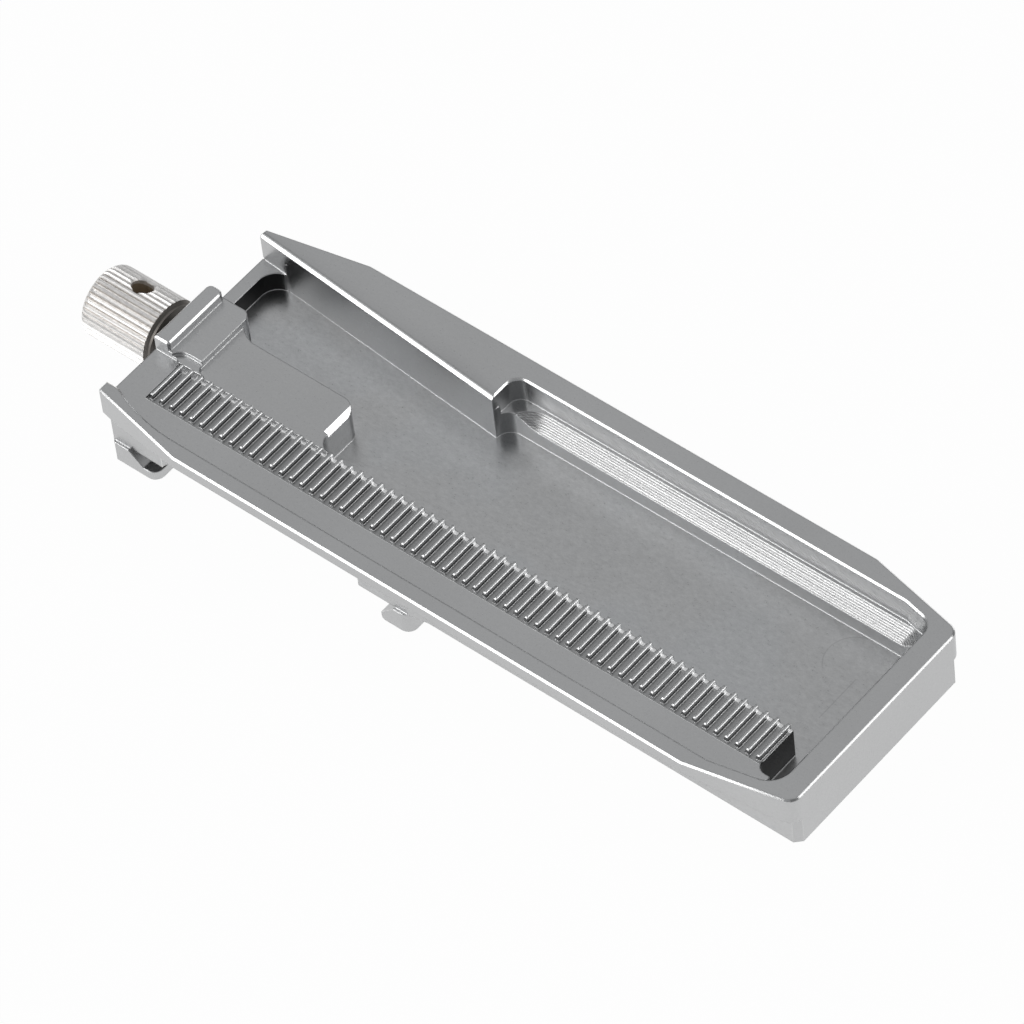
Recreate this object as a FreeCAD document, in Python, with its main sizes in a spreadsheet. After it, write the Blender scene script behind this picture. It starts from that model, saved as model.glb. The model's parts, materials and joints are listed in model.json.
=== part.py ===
import FreeCAD, Part
import math
import os
import Sketcher

# Quick release plate: a machined tray with an integral rack, and a screw-driven clamp underneath.
# The origin lies on the underside seat, at the middle of the plate. X runs along the plate away from
# the knob, Y runs across it towards the slanted wall, Z points up to the rim. Lengths in millimetres.
# Each station is measured from the end face or long side that it belongs to.

SIZES = (
    # Outline of the plate
    ("half_length", 50.5, "middle of the plate to either end face"),
    ("half_width", 17.65, "middle of the plate to either long side"),
    ("end_taper", 13.6, "end faces back to the bend in each long side"),
    ("end_inset", 2.82, "plate narrower at its end faces, on each side"),
    ("corner_radius", 1.6, "outer corners at the plain end"),
    ("tip_radius", 0.3, "outer corners at the knob end"),
    ("rim_height", 8.0, "rim above the underside seat"),
    ("flange_thickness", 1.75, "upright edge of the flange below the rim"),
    ("bevel_inset", 2.25, "long sides in to the foot of the bevel under the flange"),
    ("edge_break", 0.22, "chamfer on the rim edges"),
    # Lower block
    ("block_height", 4.0, "lower block above the underside seat"),
    ("block_inset", 2.81, "long sides in to the lower block at the knob end"),
    ("nose_inset", 3.21, "long sides in to the lower block at the plain end"),
    ("nose_start", 48.0, "knob end face to where the lower block has narrowed"),
    ("foot_inset", 4.05, "long sides in to the corner cuts at the end faces"),
    ("relief_start", 8.6, "knob end face to the near end of the side reliefs"),
    ("relief_end", 38.0, "knob end face to the far end of the side reliefs"),
    ("relief_inset", 4.05, "long sides in to the bottom of the side reliefs"),
    ("relief_radius", 1.2, "corners of the side reliefs"),
    # Clamp channel under the plate
    ("bar_drop", 3.04, "hooked bars below the underside seat"),
    ("bar_inset", 2.41, "long sides in to the ends of the hooked bars"),
    ("bar_corner_radius", 1.3, "plan corners of the hooked bars"),
    ("hook_apex", 3.7, "knob end face to the root of the knob end undercut"),
    ("hook_lip_start", 5.8, "knob end face to where the undercut meets the lip"),
    ("hook_tip", 7.77, "knob end face to the tip of the knob end lip"),
    ("lip_depth", 1.75, "upper face of the lip below the underside seat"),
    ("fixed_tip", 41.5, "knob end face to the tip of the fixed bar"),
    ("fixed_apex", 43.4, "knob end face to the root of the fixed undercut"),
    ("fixed_back", 45.7, "knob end face to the rear of the fixed bar"),
    ("fixed_edge_depth", 1.8, "edge of the fixed undercut below the underside seat"),
    ("fixed_edge_radius", 0.5, "lower edge of the fixed bar"),
    # Tray
    ("floor_level", 5.7, "near floor and pad above the underside seat"),
    ("near_wall", 2.18, "thickness of the near wall"),
    ("near_bend", 11.5, "plain end face to the bend in the near wall's inner face"),
    ("flare_radius", 24.0, "sweep of the near wall's inner face at the knob end"),
    ("flare_corner", 4.54, "knob end face to where the flare's tangents cross"),
    ("flare_angle", 33.65, "turn of the near wall's inner face at the knob end, degrees"),
    ("tip_wall", 1.53, "thickness of the near wall at the knob end face"),
    ("end_wall", 3.1, "thickness of the end wall"),
    ("wall_draw_angle", 11.72, "turn of the inner faces beside the plain end, degrees"),
    ("near_corner_radius", 3.0, "near inner corner at the plain end"),
    ("far_corner_radius", 2.0, "far inner corner at the plain end"),
    ("far_wall", 2.98, "thickness of the far wall beside the recess"),
    ("far_bend", 7.4, "plain end face to the bend in the far wall's inner face"),
    ("recess_end", 37.6, "knob end face to the end of the far recess"),
    ("recess_corner_radius", 1.7, "upper corner at the end of the far recess"),
    ("slant_start", 3.92, "far long side in to the slanted wall at the knob end"),
    ("slant_angle", 5.09, "turn of the slanted wall, degrees"),
    ("slant_break", 0.45, "chamfer on the slanted wall"),
    # Far recess
    ("ledge_level", 4.45, "ledge of the far recess above the underside seat"),
    ("ledge_lip", 3.45, "far long side in to the lip where the milled slope starts"),
    ("slope_foot", 5.27, "far long side in to the foot of the milled slope"),
    ("slope_foot_level", 3.15, "foot of the milled slope above the underside seat"),
    ("slope_passes", 8, "milling passes on the slope"),
    ("slope_pass_inset", 0.09, "shortening of each pass of the slope at either end"),
    ("slope_start", 38.5, "knob end face to the start of the slope"),
    ("slope_end", 4.8, "plain end face to the end of the slope"),
    ("slope_start_radius", 4.0, "sweep of each pass at its knob end"),
    ("slope_end_radius", 1.6, "sweep of each pass at its plain end"),
    # Deep pocket
    ("pocket_level", 0.95, "floor of the deep pocket above the underside seat"),
    ("pocket_start", 1.7, "knob end face to the end wall of the pocket"),
    ("pocket_far", 5.29, "far long side in to the pocket's wall beside the recess"),
    ("pocket_step_radius", 1.9, "pocket corner below the end of the recess"),
    ("pocket_start_radius", 2.5, "pocket corner at the slanted wall"),
    ("pocket_notch_near", 5.55, "near long side in to the pocket's end past the rack"),
    ("pocket_notch_end", 5.6, "plain end face to where the pocket meets the near wall"),
    ("pocket_notch_radius", 1.3, "corner of the pocket past the rack"),
    ("strip_level", 3.8, "strip at the knob end above the underside seat"),
    ("strip_end", 3.9, "knob end face to the end of the strip"),
    # Pad over the clamp
    ("pad_far", 2.06, "middle of the plate to the far edge of the pad"),
    ("pad_end", 24.37, "knob end face to the end of the pad"),
    ("pad_sweep_radius", 3.6, "hollow corner between the pad and the step"),
    ("pad_sweep_start", 5.47, "knob end face to the start of the hollow corner"),
    ("pad_sweep_corner", 6.31, "knob end face to where the hollow corner's tangents cross"),
    ("pad_sweep_far", 4.6, "middle of the plate to the start of the hollow corner"),
    ("pad_corner_radius", 1.9, "far corner at the end of the pad"),
    ("pad_root_radius", 2.1, "hollow corner between the end of the pad and the rack"),
    ("pad_bevel", 0.62, "bevel on the end of the pad"),
    # Ridge, step and bridge at the knob end
    ("ridge_near", 5.05, "middle of the plate to the near end of the ridge"),
    ("ridge_far", 4.78, "middle of the plate to the far end of the ridge and step"),
    ("ridge_end", 2.2, "knob end face to the inner face of the ridge"),
    ("ridge_near_radius", 0.4, "upright corner at the near end of the ridge"),
    ("ridge_far_radius", 0.8, "upright corners at the far end of the ridge"),
    ("step_level", 6.65, "step beside the ridge above the underside seat"),
    ("step_near", 4.1, "middle of the plate to the near end of the step"),
    ("step_end", 6.2, "knob end face to the inner face of the step"),
    ("step_corner_radius", 1.2, "far corner of the step"),
    ("scallop_radius", 2.2, "round scallop in the near side of the step"),
    ("scallop_station", 5.0, "knob end face to the centre of the scallop"),
    ("scallop_near", 3.79, "middle of the plate to the centre of the scallop"),
    ("bridge_level", 6.12, "bridge from the step to the rack above the underside seat"),
    ("bridge_start", 3.9, "knob end face to the bridge beside the rack"),
    ("bridge_start_radius", 0.9, "corner of the bridge beside the ridge"),
    ("bridge_lip", 0.09, "bridge past the far ends of the teeth"),
    ("bridge_root_radius", 1.2, "hollow corner between the bridge and the step"),
    # Rack
    ("tooth_pitch", 1.5, "rack tooth to tooth"),
    ("first_tooth", 4.325, "knob end face to the first tooth"),
    ("last_tooth", 8.1, "plain end face to the nearest place for the last tooth"),
    ("tooth_crest_level", 6.16, "tooth crests above the underside seat"),
    ("tooth_root_level", 5.36, "roots between the teeth above the underside seat"),
    ("tooth_crest_width", 0.4, "tooth at its crest"),
    ("tooth_lead", 0.23, "spread of the tooth towards the knob at its root"),
    ("tooth_trail", 0.03, "spread of the tooth away from the knob at its root"),
    ("tooth_crest_break", 0.07, "chamfer on either edge of each crest"),
    ("tooth_near", 10.84, "middle of the plate to the near ends of the teeth"),
    ("tooth_far", 5.34, "middle of the plate to the far ends of the teeth"),
    ("tooth_far_break", 0.5, "facet on the far end of each tooth"),
    ("tooth_near_break", 0.15, "facet on the near end of each tooth"),
    ("rack_margin", 0.55, "rack bed past its first and last tooth"),
    ("rack_groove", 0.46, "groove between the near floor and the teeth"),
    # Clamp screw
    ("screw_across", 0.35, "screw axis towards the near side of the plate's middle"),
    ("screw_level", 1.66, "screw axis above the underside seat"),
    ("knob_radius", 4.63, "crests of the knurled knob"),
    ("knob_start", 12.6, "knob end face out to the outer face of the knob"),
    ("knob_end", 2.6, "knob end face out to the end of the knurling"),
    ("knob_dome_radius", 1.0, "rounded outer edge of the knob"),
    ("knurl_count", 40, "ridges round the knob"),
    ("knurl_depth", 0.36, "grooves between the ridges"),
    ("knurl_gap", 0.56, "width of each groove at the crests"),
    ("knurl_break", 0.3, "chamfer at the inner end of the ridges"),
    ("collar_radius", 4.2, "plain collar of the knob"),
    ("collar_end", 2.0, "knob end face out to the end of the collar"),
    ("thread_radius", 2.0, "threaded shank"),
    ("pin_radius", 1.0, "turned-down pin that carries the jaw"),
    ("pin_end", 4.4, "knob end face to the end of the pin"),
    ("groove_radius", 0.8, "bottom of the ring groove"),
    ("bar_hole_radius", 1.35, "cross hole for a turning bar"),
    ("bar_hole_station", 7.4, "knob end face out to the cross hole"),
    ("bar_hole_turn", 20.0, "turn of the cross hole from upright, degrees"),
    ("bar_hole_break", 0.35, "chamfer round the cross hole"),
    # Jaw and its slot
    ("jaw_start", 2.2, "knob end face to the rear face of the jaw"),
    ("jaw_half_width", 3.3, "middle of the jaw to either side"),
    ("jaw_top", 3.9, "top of the jaw above the underside seat"),
    ("jaw_travel", 1.5, "travel of the jaw from open to clamped"),
    ("jaw_floor_gap", 0.06, "bottom of the jaw above the bottom of the bars"),
    ("slide_clearance", 0.1, "gap between the jaw and its slot"),
    ("end_clearance", 0.2, "gap at either end of the jaw's slot"),
    ("running_clearance", 0.05, "radial gap round a shaft"),
    ("ring_radius", 1.6, "retaining ring"),
    ("ring_thickness", 0.4, "retaining ring along the screw"),
    ("ring_gap", 0.8, "opening in the retaining ring"),
)

# Length that a cut runs past the solid, and how near an edge must lie to the place it is looked for at.
OVERRUN = 1.0
MATCH = 0.001

TOOTH_COUNT = "(floor((2 * size.half_length - size.first_tooth - size.last_tooth) / size.tooth_pitch) + 1)"


def from_knob_end(inset):
    """Formula for a station measured inwards from the knob end face."""
    return f"(-size.half_length + {inset})"


def from_plain_end(inset):
    """Formula for a station measured inwards from the plain end face."""
    return f"(size.half_length - {inset})"


def from_long_side(inset):
    """Formula for a half width measured inwards from a long side."""
    return f"(size.half_width - {inset})"


RACK_START = from_knob_end("size.first_tooth - size.rack_margin")
RACK_END = from_knob_end(f"size.first_tooth + size.tooth_pitch * ({TOOTH_COUNT} - 1) + size.rack_margin")
BEYOND_KNOB_END = from_knob_end(f"-{OVERRUN}")


def make_sheet(doc):
    """Spreadsheet with one named size in each row."""
    sheet = doc.addObject("Spreadsheet::Sheet", "size")
    for row, (name, value, note) in enumerate(SIZES, start=1):
        sheet.set(f"A{row}", name)
        sheet.set(f"B{row}", str(value))
        sheet.set(f"C{row}", note)
        sheet.setAlias(f"B{row}", name)
    doc.recompute()
    return sheet


def start_sketch(body, name, plane, level="0 mm"):
    """Sketch flat on one of the body's own planes, raised along the plane's normal."""
    sketch = body.newObject("Sketcher::SketchObject", name)
    support = next(item for item in body.Origin.OriginFeatures if item.Role == plane)
    sketch.AttachmentSupport = [(support, "")]
    sketch.MapMode = "FlatFace"
    sketch.setExpression("AttachmentOffset.Base.z", level)
    return sketch


def bind(sketch, kind, parts, formula):
    """Dimension in the sketch that follows a formula."""
    value = sketch.evalExpression(formula)
    index = sketch.addConstraint(Sketcher.Constraint(kind, *parts, float(value)))
    sketch.setExpression(f"Constraints[{index}]", formula)


def place_point(sketch, geometry, end, across, up):
    """Ties one point of the sketch to its two coordinates."""
    bind(sketch, "DistanceX", (-1, 1, geometry, end), across)
    bind(sketch, "DistanceY", (-1, 1, geometry, end), up)


def corner_arc(before, corner, after, radius):
    """Arc that rounds the corner between two straight edges, as its first, middle and last point."""
    back = (before - corner).normalize()
    ahead = (after - corner).normalize()
    half_angle = back.getAngle(ahead) / 2
    reach = radius / math.tan(half_angle)
    bulge = radius / math.sin(half_angle) - radius
    inward = (back + ahead).normalize()
    return corner + back * reach, corner + inward * bulge, corner + ahead * reach


def draw_loop(sketch, corners):
    """Closed loop of straight edges; each corner is (across, up) or (across, up, radius) in formulas."""
    points = []
    for corner in corners:
        across = float(sketch.evalExpression(corner[0]))
        up = float(sketch.evalExpression(corner[1]))
        points.append(FreeCAD.Vector(across, up, 0))
    arcs = []
    for index, corner in enumerate(corners):
        if len(corner) == 2:
            arcs.append((points[index], None, points[index]))
        else:
            radius = float(sketch.evalExpression(corner[2]))
            after = points[(index + 1) % len(points)]
            arcs.append(corner_arc(points[index - 1], points[index], after, radius))
    edges = []
    for index in range(len(points)):
        following = arcs[(index + 1) % len(points)]
        edges.append(sketch.addGeometry(Part.LineSegment(arcs[index][2], following[0]), False))
    for index, corner in enumerate(corners):
        join_corner(sketch, edges[index - 1], edges[index], points[index], arcs[index], corner)


def join_corner(sketch, before, after, point, arc, corner):
    """Joins two edges of a loop at a sharp or rounded corner and dimensions the corner."""
    if len(corner) == 2:
        sketch.addConstraint(Sketcher.Constraint("Coincident", before, 2, after, 1))
        place_point(sketch, after, 1, corner[0], corner[1])
        return
    start, middle, finish = arc
    rounding = sketch.addGeometry(Part.Arc(start, middle, finish), False)
    turns_left = (middle - start).cross(finish - middle).z > 0
    first, last = (1, 2) if turns_left else (2, 1)
    sketch.addConstraint(Sketcher.Constraint("Tangent", before, 2, rounding, first))
    sketch.addConstraint(Sketcher.Constraint("Tangent", rounding, last, after, 1))
    bind(sketch, "Radius", (rounding,), corner[2])
    apex = sketch.addGeometry(Part.Point(point), True)
    sketch.addConstraint(Sketcher.Constraint("PointOnObject", apex, 1, before))
    sketch.addConstraint(Sketcher.Constraint("PointOnObject", apex, 1, after))
    place_point(sketch, apex, 1, corner[0], corner[1])


def draw_circle(sketch, across, up, radius):
    """Circle with its centre and radius in formulas."""
    centre = FreeCAD.Vector(float(sketch.evalExpression(across)), float(sketch.evalExpression(up)), 0)
    size = float(sketch.evalExpression(radius))
    ring = sketch.addGeometry(Part.Circle(centre, FreeCAD.Vector(0, 0, 1), size), False)
    bind(sketch, "Radius", (ring,), radius)
    place_point(sketch, ring, 3, across, up)


def pad(body, name, sketch, length, reverse=False, both=False):
    """Material raised from a sketch."""
    feature = body.newObject("PartDesign::Pad", name)
    feature.Profile = sketch
    feature.setExpression("Length", length)
    feature.Reversed = reverse
    if both:
        feature.SideType = "Symmetric"
    return feature


def pocket(body, name, sketch, depth, reverse=False, both=False):
    """Material cut away under a sketch."""
    feature = body.newObject("PartDesign::Pocket", name)
    feature.Profile = sketch
    feature.setExpression("Length", depth)
    feature.Reversed = reverse
    if both:
        feature.SideType = "Symmetric"
    return feature


def mirrored(corners):
    """The same loop on the other side of the plate's length, drawn the same way round."""
    flipped = [(corner[0], f"-({corner[1]})") + tuple(corner[2:]) for corner in corners]
    return flipped[::-1]


def level_edges(feature, level, belongs):
    """Names of the feature's edges that lie at a level and whose middle point belongs."""
    names = []
    for number, edge in enumerate(feature.Shape.Edges, start=1):
        box = edge.BoundBox
        flat = abs(box.ZMin - level) < MATCH and abs(box.ZMax - level) < MATCH
        middle = edge.valueAt((edge.FirstParameter + edge.LastParameter) / 2)
        if flat and belongs(middle):
            names.append(f"Edge{number}")
    return names


def chamfer(doc, body, name, level, belongs, size):
    """Chamfer on the edges of the body's last feature that lie at a level and belong."""
    doc.recompute()
    base = body.Tip
    feature = body.newObject("PartDesign::Chamfer", name)
    feature.Base = (base, level_edges(base, level, belongs))
    feature.setExpression("Size", size)


def slab(body):
    """Upper slab: the plate's outline, with the bevel under the flange along both sides."""
    end_width = from_long_side("size.end_inset")
    outline = start_sketch(body, "slab_outline", "XY_Plane", "size.block_height")
    draw_loop(outline, [
        ("-size.half_length", f"-{end_width}", "size.tip_radius"),
        (from_knob_end("size.end_taper"), "-size.half_width"),
        (from_plain_end("size.end_taper"), "-size.half_width"),
        ("size.half_length", f"-{end_width}", "size.corner_radius"),
        ("size.half_length", end_width, "size.corner_radius"),
        (from_plain_end("size.end_taper"), "size.half_width"),
        (from_knob_end("size.end_taper"), "size.half_width"),
        ("-size.half_length", end_width, "size.tip_radius"),
    ])
    pad(body, "slab", outline, "size.rim_height - size.block_height")
    bevel = start_sketch(body, "bevel_section", "YZ_Plane")
    outside = f"size.half_width + {OVERRUN}"
    below = f"size.block_height - {OVERRUN}"
    shoulder = "size.rim_height - size.flange_thickness"
    foot = from_long_side("size.bevel_inset")
    section = [
        (foot, "size.block_height"),
        (foot, below),
        (outside, below),
        (outside, shoulder),
        ("size.half_width", shoulder),
    ]
    draw_loop(bevel, section)
    draw_loop(bevel, [(f"-({across})", up) for across, up in section][::-1])
    pocket(body, "bevels", bevel, f"2 * (size.half_length + {OVERRUN})", both=True)


def lower_block(body):
    """Lower block under the slab, narrower past the fixed bar."""
    outline = start_sketch(body, "block_outline", "XY_Plane")
    side = [
        ("size.half_length", from_long_side("size.nose_inset")),
        (from_knob_end("size.nose_start"), from_long_side("size.nose_inset")),
        (from_knob_end("size.fixed_back"), from_long_side("size.block_inset")),
        ("-size.half_length", from_long_side("size.block_inset")),
    ]
    draw_loop(outline, side + mirrored(side))
    pad(body, "lower_block", outline, "size.block_height")


def hooked_bars(body):
    """Two bars across the underside, undercut towards each other to hold a bevelled plate."""
    section = start_sketch(body, "bar_sections", "XZ_Plane")
    draw_loop(section, [
        ("-size.half_length", "0"),
        ("-size.half_length", "-size.bar_drop"),
        (from_knob_end("size.hook_tip"), "-size.bar_drop"),
        (from_knob_end("size.hook_tip"), "-size.lip_depth"),
        (from_knob_end("size.hook_lip_start"), "-size.lip_depth"),
        (from_knob_end("size.hook_apex"), "0"),
    ])
    draw_loop(section, [
        (from_knob_end("size.fixed_apex"), "0"),
        (from_knob_end("size.fixed_tip"), "-size.fixed_edge_depth"),
        (from_knob_end("size.fixed_tip"), "-size.bar_drop", "size.fixed_edge_radius"),
        (from_knob_end("size.fixed_back"), "-size.bar_drop"),
        (from_knob_end("size.fixed_back"), "0"),
    ])
    pad(body, "hooked_bars", section, f"2 * {from_long_side('size.bar_inset')}", both=True)


def corner_cuts(body):
    """Upright cuts at 45 degrees across the corners of the lower block and the knob end bar."""
    plan = start_sketch(body, "corner_cut_plan", "XY_Plane", "size.block_height")
    run = f"(size.foot_inset - size.bar_inset + {OVERRUN})"
    foot = from_long_side("size.foot_inset")
    for side in ("-", ""):
        corner = [
            (f"{side}size.half_length", foot),
            (f"{side}(size.half_length - {run})", f"{foot} + {run}"),
            (f"{side}(size.half_length + {OVERRUN})", f"{foot} + {run}"),
            (f"{side}(size.half_length + {OVERRUN})", foot),
        ]
        draw_loop(plan, corner)
        draw_loop(plan, mirrored(corner))
    pocket(body, "corner_cuts", plan, f"size.block_height + size.bar_drop + {OVERRUN}")


def bar_corners(body):
    """Trims both bars to their plan, with rounded corners on the side away from the knob."""
    plan = start_sketch(body, "bar_plan", "XY_Plane")
    bar_end = from_long_side("size.bar_inset")
    clear = f"({bar_end} + {OVERRUN})"
    trim_start = from_knob_end(f"-2 * {OVERRUN}")
    trim_end = from_knob_end(f"size.fixed_back + {OVERRUN}")
    draw_loop(plan, [
        (trim_start, f"-{clear}"),
        (trim_end, f"-{clear}"),
        (trim_end, clear),
        (trim_start, clear),
    ])
    bars = (
        (BEYOND_KNOB_END, from_knob_end("size.hook_tip")),
        (from_knob_end(f"size.fixed_tip - {OVERRUN}"), from_knob_end("size.fixed_back")),
    )
    for start, end in bars:
        draw_loop(plan, [
            (start, f"-{bar_end}"),
            (end, f"-{bar_end}", "size.bar_corner_radius"),
            (end, bar_end, "size.bar_corner_radius"),
            (start, bar_end),
        ])
    pocket(body, "bar_corners", plan, f"size.bar_drop + {OVERRUN}")


def side_reliefs(body):
    """Long shallow reliefs in both sides of the lower block, beside the clamp channel."""
    plan = start_sketch(body, "relief_plan", "XY_Plane", "size.block_height")
    bottom = from_long_side("size.relief_inset")
    outside = f"size.half_width + {OVERRUN}"
    side = [
        (from_knob_end("size.relief_end"), bottom, "size.relief_radius"),
        (from_knob_end("size.relief_end"), outside),
        (from_knob_end("size.relief_start"), outside),
        (from_knob_end("size.relief_start"), bottom, "size.relief_radius"),
    ]
    draw_loop(plan, side)
    draw_loop(plan, mirrored(side))
    pocket(body, "side_reliefs", plan, "size.block_height")


def slant_at(inset):
    """Formula for the slanted wall's place across the plate, so far in from the knob end face."""
    return f"({from_long_side('size.slant_start')} - ({inset}) * tan(size.slant_angle))"


def near_wall_at(inset):
    """Formula for the near wall's inner face past its bend, so far in from the plain end face."""
    return f"(-{from_long_side('size.near_wall')} + (size.near_bend - {inset}) * tan(size.wall_draw_angle))"


def far_wall_at(inset):
    """Formula for the far wall's inner face past its bend, so far in from the plain end face."""
    return f"({from_long_side('size.far_wall')} - (size.far_bend - {inset}) * tan(size.wall_draw_angle))"


def level_cut(body, name, corners, top, level):
    """Pocket from one level down to a lower one."""
    plan = start_sketch(body, f"{name}_plan", "XY_Plane", top)
    draw_loop(plan, corners)
    pocket(body, name, plan, f"{top} - {level}")


def tray(body):
    """Tray inside the walls, open at the knob end, down to the near floor."""
    near_face = f"-{from_long_side('size.near_wall')}"
    far_face = from_long_side("size.far_wall")
    level_cut(body, "tray", [
        (BEYOND_KNOB_END, f"{near_face} + (size.flare_corner + {OVERRUN}) * tan(size.flare_angle)"),
        (from_knob_end("size.flare_corner"), near_face, "size.flare_radius"),
        (from_plain_end("size.near_bend"), near_face),
        (from_plain_end("size.end_wall"), near_wall_at("size.end_wall"), "size.near_corner_radius"),
        (from_plain_end("size.end_wall"), far_wall_at("size.end_wall"), "size.far_corner_radius"),
        (from_plain_end("size.far_bend"), far_face),
        (from_knob_end("size.recess_end"), far_face, "size.recess_corner_radius"),
        (from_knob_end("size.recess_end"), slant_at("size.recess_end")),
        (BEYOND_KNOB_END, slant_at(f"-{OVERRUN}")),
    ], "size.rim_height", "size.floor_level")


def tip_relief(body):
    """Straightens the near wall's inner face where it comes out at the knob end."""
    tip_face = f"(-{from_long_side('size.end_inset')} + size.tip_wall)"
    level_cut(body, "tip_relief", [
        (BEYOND_KNOB_END, tip_face),
        (from_knob_end("size.flare_corner"), tip_face),
        (from_knob_end("size.flare_corner"), f"{tip_face} + 2 * {OVERRUN}"),
        (BEYOND_KNOB_END, f"{tip_face} + 2 * {OVERRUN}"),
    ], "size.rim_height", "size.floor_level")


def far_recess(body):
    """Recess in the far wall: a ledge, with a slope milled in passes from its lip to the pocket."""
    back = from_long_side(f"size.pocket_far - {OVERRUN}")
    far_face = from_long_side("size.far_wall")
    level_cut(body, "recess", [
        (from_knob_end("size.recess_end"), back),
        (from_plain_end("size.end_wall"), back),
        (from_plain_end("size.end_wall"), far_wall_at("size.end_wall"), "size.far_corner_radius"),
        (from_plain_end("size.far_bend"), far_face),
        (from_knob_end("size.recess_end"), far_face, "size.recess_corner_radius"),
    ], "size.floor_level", "size.ledge_level")


def slope_pass(body, number):
    """One milling pass of the slope: a shallow step with swept ends."""
    across = from_long_side(
        f"size.ledge_lip - (size.slope_foot - size.ledge_lip) * {number} / size.slope_passes"
    )
    drop = f"(size.ledge_level - size.slope_foot_level) * ({number} + 1) / size.slope_passes"
    back = f"{across} - size.slope_start_radius - {OVERRUN}"
    inset = f"{number} * size.slope_pass_inset"
    start = from_knob_end(f"size.slope_start + {inset}")
    end = from_plain_end(f"size.slope_end - {inset}")
    level_cut(body, f"slope_pass_{number + 1}", [
        (start, back),
        (end, back),
        (end, across, "size.slope_end_radius"),
        (start, across, "size.slope_start_radius"),
    ], "size.ledge_level", f"(size.ledge_level - {drop})")


def deep_pocket(body):
    """Deep pocket behind the rack, with a notch past the rack's end and a step below the recess."""
    notch_near = f"-{from_long_side('size.pocket_notch_near')}"
    far_face = from_long_side("size.pocket_far")
    level_cut(body, "pocket", [
        (from_knob_end("size.pocket_start"), "size.pad_sweep_far"),
        (from_knob_end("size.pad_sweep_start"), "size.pad_sweep_far"),
        (from_knob_end("size.pad_sweep_corner"), "size.pad_far", "size.pad_sweep_radius"),
        (from_knob_end("size.pad_end"), "size.pad_far", "size.pad_corner_radius"),
        (from_knob_end("size.pad_end"), "-size.tooth_far", "size.pad_root_radius"),
        (RACK_END, "-size.tooth_far"),
        (RACK_END, notch_near, "size.pocket_notch_radius"),
        (from_plain_end("size.pocket_notch_end"), notch_near),
        (from_plain_end("size.pocket_notch_end"), near_wall_at("size.pocket_notch_end")),
        (from_plain_end("size.end_wall"), near_wall_at("size.end_wall"), "size.near_corner_radius"),
        (from_plain_end("size.end_wall"), far_face, "size.far_corner_radius"),
        (from_knob_end("size.recess_end"), far_face, "size.pocket_step_radius"),
        (from_knob_end("size.recess_end"), slant_at("size.recess_end")),
        (from_knob_end("size.pocket_start"), slant_at("size.pocket_start"), "size.pocket_start_radius"),
    ], "size.floor_level", "size.pocket_level")


def pad_bevel(body):
    """Bevel at 45 degrees on the end of the pad, which runs out at the hollow corner by the rack."""
    section = start_sketch(body, "pad_bevel_section", "XZ_Plane", f"-(size.pad_far + {OVERRUN})")
    past_end = from_knob_end(f"size.pad_end + {OVERRUN}")
    above = f"size.floor_level + {OVERRUN}"
    draw_loop(section, [
        (from_knob_end(f"size.pad_end - size.pad_bevel - {OVERRUN}"), above),
        (past_end, f"size.floor_level - size.pad_bevel - {OVERRUN}"),
        (past_end, above),
    ])
    width = f"size.pad_far + {OVERRUN} + size.tooth_far - size.pad_root_radius"
    pocket(body, "pad_bevel", section, width, reverse=True)


def end_strip(body):
    """Lower strip across the knob end, between the ridge and the slanted wall."""
    near_edge = "size.ridge_far - size.ridge_far_radius"
    level_cut(body, "strip", [
        (BEYOND_KNOB_END, near_edge),
        (from_knob_end("size.strip_end"), near_edge),
        (from_knob_end("size.strip_end"), slant_at("size.strip_end")),
        (BEYOND_KNOB_END, slant_at(f"-{OVERRUN}")),
    ], "size.floor_level", "size.strip_level")


def ridge_and_step(body):
    """Ridge across the knob end and the lower step beside it, with a round scallop."""
    ridge_face = from_knob_end("size.ridge_end")
    ridge = start_sketch(body, "ridge_plan", "XY_Plane")
    draw_loop(ridge, [
        ("-size.half_length", "-size.ridge_near"),
        (ridge_face, "-size.ridge_near", "size.ridge_near_radius"),
        (ridge_face, "size.ridge_far", "size.ridge_far_radius"),
        ("-size.half_length", "size.ridge_far", "size.ridge_far_radius"),
    ])
    pad(body, "ridge", ridge, "size.rim_height")
    step_face = from_knob_end("size.step_end")
    inside_ridge = from_knob_end("size.ridge_end - size.ridge_far_radius")
    step = start_sketch(body, "step_plan", "XY_Plane")
    draw_loop(step, [
        (inside_ridge, "-size.step_near"),
        (step_face, "-size.step_near"),
        (step_face, "size.ridge_far", "size.step_corner_radius"),
        (inside_ridge, "size.ridge_far"),
    ])
    pad(body, "step", step, "size.step_level")
    scallop = start_sketch(body, "scallop_plan", "XY_Plane", "size.step_level")
    draw_circle(scallop, from_knob_end("size.scallop_station"), "-size.scallop_near", "size.scallop_radius")
    pocket(body, "scallop", scallop, "size.step_level - size.floor_level")


def bridge(body):
    """Low bridge from the step, under the scallop, to the knob end of the rack."""
    ridge_face = from_knob_end("size.ridge_end")
    step_face = from_knob_end("size.step_end")
    corner = from_knob_end("size.bridge_start")
    end = from_knob_end("size.step_end + size.bridge_root_radius + size.bridge_lip")
    lip = "-size.tooth_far + size.bridge_lip"
    plan = start_sketch(body, "bridge_plan", "XY_Plane")
    draw_loop(plan, [
        (ridge_face, "-size.ridge_near"),
        (corner, "-size.ridge_near", "size.bridge_start_radius"),
        (corner, "-size.tooth_far"),
        (end, "-size.tooth_far"),
        (end, lip),
        (step_face, lip, "size.bridge_root_radius"),
        (step_face, "-size.scallop_near"),
        (ridge_face, "-size.scallop_near"),
    ])
    pad(body, "bridge", plan, "size.bridge_level")


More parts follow.
